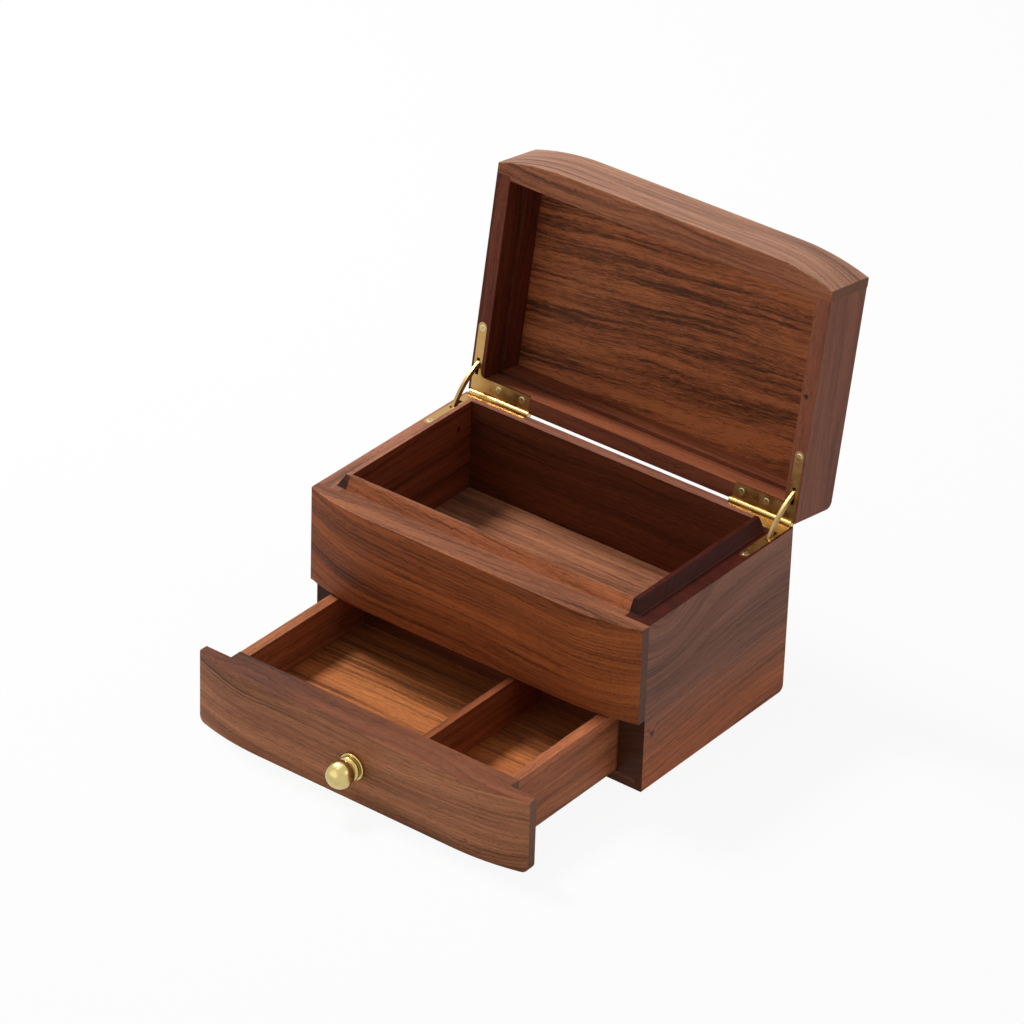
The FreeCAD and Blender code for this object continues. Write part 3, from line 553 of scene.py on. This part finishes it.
bpy.ops.object.select_all(action="DESELECT")
bpy.ops.mesh.primitive_cylinder_add(vertices=64, radius=FLANGE_RADIUS * MM,
                                    depth=FLANGE_HEIGHT * MM,
                                    location=on_knob(FLANGE_HEIGHT / 2), rotation=TO_FRONT)
knob = bpy.context.object
knob.name = "drawer_knob_turned"
bake(knob)
bpy.ops.object.modifier_add(type="BEVEL")
ease = knob.modifiers[-1]
ease.width = FLANGE_EASE * MM
ease.segments = 4
bpy.ops.object.modifier_apply(modifier=ease.name)
turned = [knob]
bpy.ops.object.select_all(action="DESELECT")
bpy.ops.mesh.primitive_torus_add(major_radius=BEAD_RING * MM, minor_radius=BEAD_RADIUS * MM,
                                 major_segments=64, minor_segments=20,
                                 location=on_knob(BEAD_AT), rotation=TO_FRONT)
turned.append(bpy.context.object)
bpy.ops.object.select_all(action="DESELECT")
bpy.ops.mesh.primitive_uv_sphere_add(segments=64, ring_count=32, radius=BALL_RADIUS * MM,
                                     location=on_knob(BALL_AT), rotation=TO_FRONT)
turned.append(bpy.context.object)
bpy.ops.object.select_all(action="DESELECT")
bpy.ops.mesh.primitive_cylinder_add(vertices=32, radius=STEM_RADIUS * MM,
                                    depth=STEM_LENGTH * MM, location=on_knob(STEM_AT),
                                    rotation=TO_FRONT)
turned.append(bpy.context.object)
for piece in turned:
    bake(piece)
only(knob)
for piece in turned:
    piece.select_set(True)
bpy.ops.object.join()
bpy.ops.object.shade_smooth_by_angle(angle=math.radians(40))
dress(knob, knob_brass)
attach(knob, "drawer")
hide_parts("drawer_knob")
print("knob faces:", len(knob.data.polygons))

# %% [markdown]
# The machine screw that holds the knob shows on the inside of the drawer front. Its head
# is made by the same function as the hinge screws, only larger, and its shank fills the
# hole behind the stem.

# %% The screw behind the knob
DRAWER_FACE = place(0, -132.25, 20.2)
FIXING_RADIUS, FIXING_HEIGHT, FIXING_RIM = 3.0, 1.8, 0.5
SHANK_RADIUS, SHANK_LENGTH, SHANK_AT = 1.99, 8.3, -4.1

fixing = cross_head("knob_fixing_screw", FIXING_RADIUS, FIXING_HEIGHT, FIXING_RIM)
bpy.ops.object.select_all(action="DESELECT")
bpy.ops.mesh.primitive_cylinder_add(vertices=32, radius=SHANK_RADIUS * MM,
                                    depth=SHANK_LENGTH * MM, location=place(0, 0, SHANK_AT))
shank = bpy.context.object
dress(shank, screw_brass)
bake(shank)
only(fixing)
shank.select_set(True)
bpy.ops.object.join()
fixing.data.transform(Matrix.Translation(DRAWER_FACE)
                      @ Matrix.Rotation(math.radians(-90), 4, "X"))
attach(fixing, "drawer")
print("fixing screw faces:", len(fixing.data.polygons))

# %% [markdown]
# ## Floor, light and camera
#
# The box stands on white studio paper. The paper shows white to the camera and in
# reflections, so that it runs into the white background, and keeps a pale shadow under
# the box. To the wood it is plain paper that throws light back.

# %% The floor
PAPER_WIDTH = 12
PAPER_DROP = 0.3
PAPER_GLOW = 0.92

bpy.ops.object.select_all(action="DESELECT")
bpy.ops.mesh.primitive_plane_add(size=PAPER_WIDTH, location=place(0, 0, -PAPER_DROP))
floor = bpy.context.object
floor.name = "studio_floor"
material, tree, surface = new_finish("paper_white_matt")
surface.inputs["Base Color"].default_value = colour("#e8e8e8")
surface.inputs["Roughness"].default_value = 0.9
surface.inputs["Specular IOR Level"].default_value = 0.0


def seen_straight(tree):
    """1 where a ray comes straight from the camera, a mirror or clear glass, otherwise 0."""
    seen = add(tree, "LightPath").node.outputs
    direct = add(tree, "Math", {0: seen["Is Camera Ray"], 1: seen["Is Glossy Ray"]},
                 operation="MAXIMUM")
    return add(tree, "Math", {0: direct, 1: seen["Is Transmission Ray"]}, operation="MAXIMUM")


glow = add(tree, "Emission", {"Color": (1, 1, 1, 1), "Strength": 1.0})
share = add(tree, "Math", {0: seen_straight(tree), 1: PAPER_GLOW}, operation="MULTIPLY")
blend = add(tree, "MixShader", {0: share, 1: surface.outputs[0], 2: glow})
tree.links.new(blend, tree.nodes["Material Output"].inputs["Surface"])
dress(floor, material)
print("paper below the box by", PAPER_DROP, "mm")

# %% [markdown]
# One soft box above and to the left of the box is the key light: it draws the slanting
# shadow over the tray's floor. Three weak, wide ones fill the rest: one low in front for
# the bowed fronts, one behind on the right for the side, and one overhead for the tops.
# The white room adds a little light from everywhere.

# %% The light
MIDDLE = Vector((0.0, -0.03, 0.06))
ROOM_LIGHT = 0.12


def lamp(name, direction, distance, length, width, power):
    """A soft box in a direction from the middle of the object, its length from front to back."""
    data = bpy.data.lights.new(name, "AREA")
    data.shape = "RECTANGLE"
    data.size = length
    data.size_y = width
    data.energy = power
    box = bpy.data.objects.new(name, data)
    bpy.context.scene.collection.objects.link(box)
    toward = Vector(direction).normalized()
    along = (Vector(ALONG_Y) - toward * toward.y).normalized()
    box.location = MIDDLE + toward * distance
    box.rotation_euler = Matrix((along, toward.cross(along), toward)).transposed().to_euler()


# name, direction, then distance, length and width in metres and power in watts
lamp("key_softbox", (-0.714, 0.12, 1.0), 1.8, 0.4, 0.4, 28)
lamp("front_softbox", (-0.35, -1.0, 0.3), 2.6, 2.6, 2.6, 13)
lamp("right_softbox", (0.8, 0.3, 0.5), 2.4, 2.0, 0.9, 7)
lamp("top_softbox", (-0.15, 0.0, 0.98), 2.2, 2.2, 0.9, 6)

world = bpy.data.worlds.new("studio_white")
bpy.context.scene.world = world
world.use_nodes = True
tree = world.node_tree
strength = add(tree, "MapRange", {"Value": seen_straight(tree), "To Min": ROOM_LIGHT,
               "To Max": 1.0})
tree.links.new(strength, tree.nodes["Background"].inputs["Strength"])
tree.nodes["Background"].inputs["Color"].default_value = (1, 1, 1, 1)
print("lamps:", len(bpy.data.lights))

# %% [markdown]
# The camera stands well back with a long lens, as for a catalogue picture, and looks
# down on the box from its right front corner. It is turned a little about its own axis,
# as a camera on a hand-set tripod is.

# %% The camera
AZIMUTH = math.radians(36.83982)
ELEVATION = math.radians(31.29519)
ROLL = math.radians(1.92356)
DISTANCE = 2.5931193
FOCAL_LENGTH, FILM_WIDTH = 192.021, 36
AIM = Vector((0.0068641, -0.0410104, 0.112344))

back = Vector((math.sin(AZIMUTH) * math.cos(ELEVATION), -math.cos(AZIMUTH) * math.cos(ELEVATION),
               math.sin(ELEVATION)))
lens = bpy.data.cameras.new("studio_camera")
lens.sensor_width = FILM_WIDTH
lens.lens = FOCAL_LENGTH
camera = bpy.data.objects.new("studio_camera", lens)
bpy.context.scene.collection.objects.link(camera)
camera.location = AIM + back * DISTANCE
level = (-back).to_track_quat("-Z", "Y")
camera.rotation_euler = (level @ Quaternion((0, 0, 1), ROLL)).to_euler()
bpy.context.scene.camera = camera
bpy.context.scene.view_settings.view_transform = "Standard"
print("camera at:", [round(c, 3) for c in camera.location])
